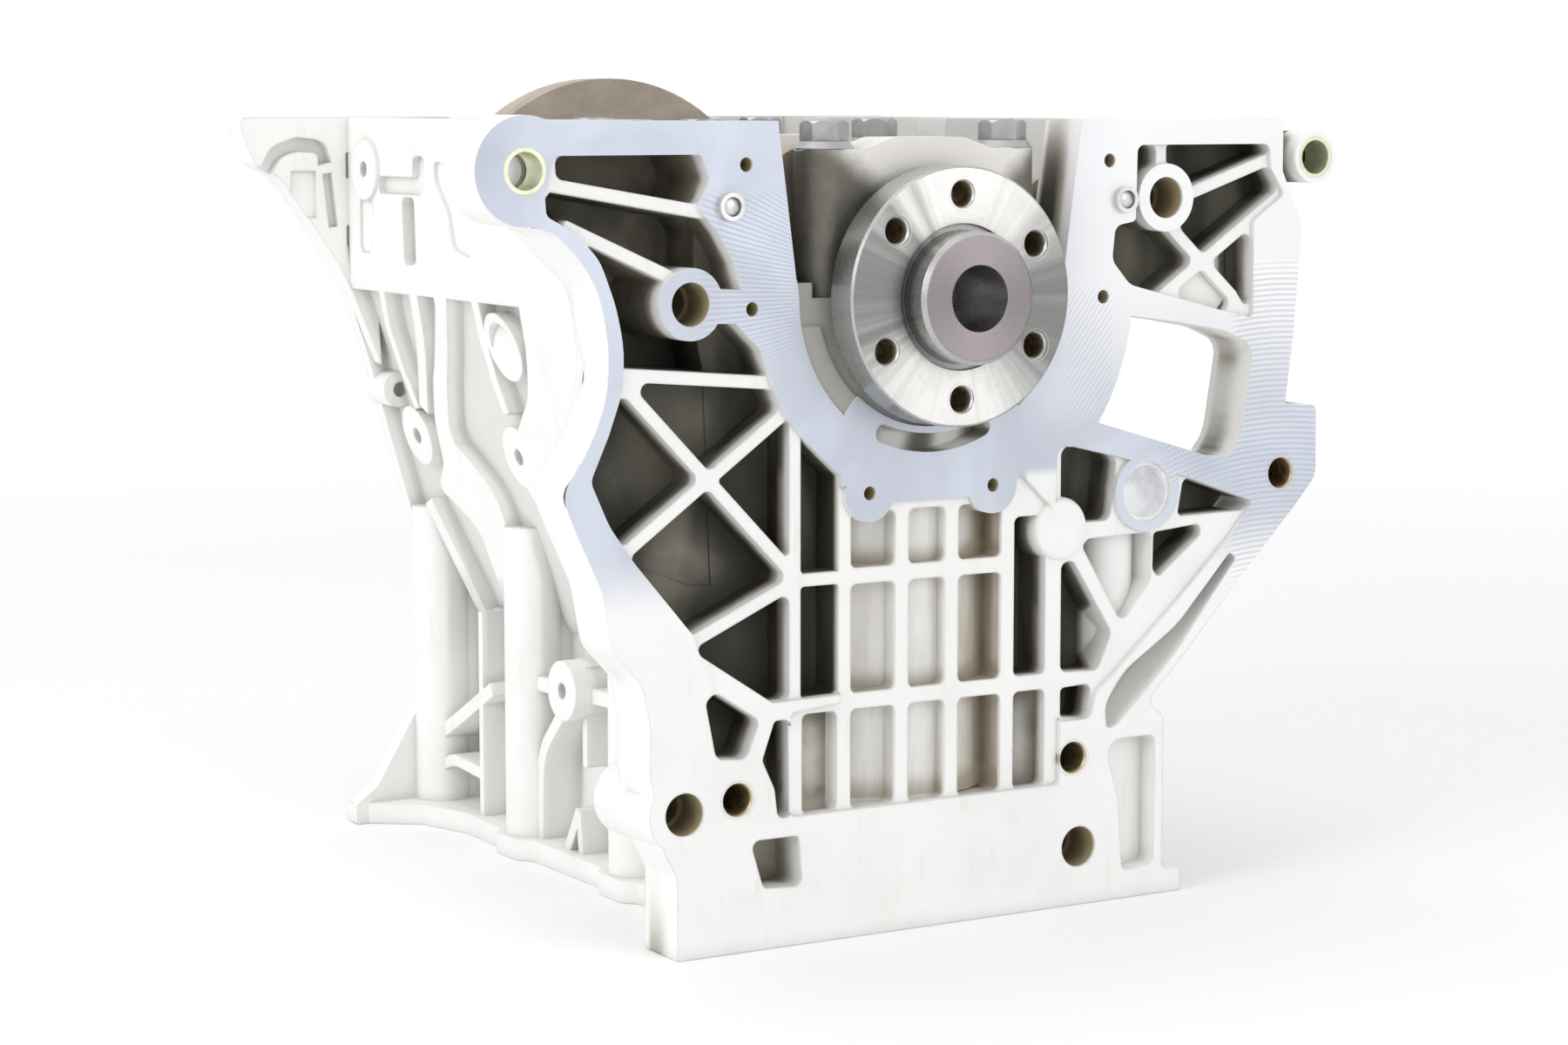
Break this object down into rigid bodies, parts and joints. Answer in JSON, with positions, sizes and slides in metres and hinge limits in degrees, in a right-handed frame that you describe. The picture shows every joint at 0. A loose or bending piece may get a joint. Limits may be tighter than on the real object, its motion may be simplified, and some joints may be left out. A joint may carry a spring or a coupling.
{
  "type": "engine block",
  "caption": "Aluminium in-line engine block standing on its head deck, with liners, main bearing caps and a crankshaft that turns in its bearings.",
  "frame": {"origin": "the middle cylinder's axis at the head deck, which is the face that the block stands on", "axes": "+Z from the head deck towards the sump rail, +Y along the crankshaft away from the flywheel, +X to the right seen from the flywheel end"},
  "size_m": [0.3714, 0.3728, 0.3135],
  "materials": {
    "cast_aluminium": "sand cast, machined on its faces",
    "machined_steel": "forged, turned and ground",
    "liner_iron": "honed",
    "cap_iron": "as cast, seats machined",
    "bearing_metal": "plated, smooth",
    "bolt_steel": "dark phosphated",
    "plug_steel": "zinc plated"
  },
  "bodies": {
    "block": {"engine_block": "cast_aluminium", "cylinder_liner_1": "liner_iron", "cylinder_liner_2": "liner_iron", "cylinder_liner_3": "liner_iron", "main_bearing_cap_1": "cap_iron", "bearing_shell_block_1": "bearing_metal", "bearing_shell_cap_1": "bearing_metal", "cap_bolt_left_1": "bolt_steel", "cap_bolt_right_1": "bolt_steel", "main_bearing_cap_2": "cap_iron", "bearing_shell_block_2": "bearing_metal", "bearing_shell_cap_2": "bearing_metal", "cap_bolt_left_2": "bolt_steel", "cap_bolt_right_2": "bolt_steel", "main_bearing_cap_3": "cap_iron", "bearing_shell_block_3": "bearing_metal", "bearing_shell_cap_3": "bearing_metal", "cap_bolt_left_3": "bolt_steel", "cap_bolt_right_3": "bolt_steel", "main_bearing_cap_4": "cap_iron", "bearing_shell_block_4": "bearing_metal", "bearing_shell_cap_4": "bearing_metal", "cap_bolt_left_4": "bolt_steel", "cap_bolt_right_4": "bolt_steel", "thrust_washer_rear": "bearing_metal", "thrust_washer_front": "bearing_metal", "rear_core_plug": "plug_steel", "seal_dowel_left": "plug_steel", "seal_dowel_right": "plug_steel", "lug_sleeve_left": "plug_steel", "lug_sleeve_right": "plug_steel"},
    "crankshaft": {"crankshaft": "machined_steel"}
  },
  "joints": [
    {"name": "crankshaft_spin", "type": "hinge", "parent": "block", "child": "crankshaft", "pos_m": [0, 0, 0.2345], "axis": [0, 1, 0], "continuous": true}
  ]
}
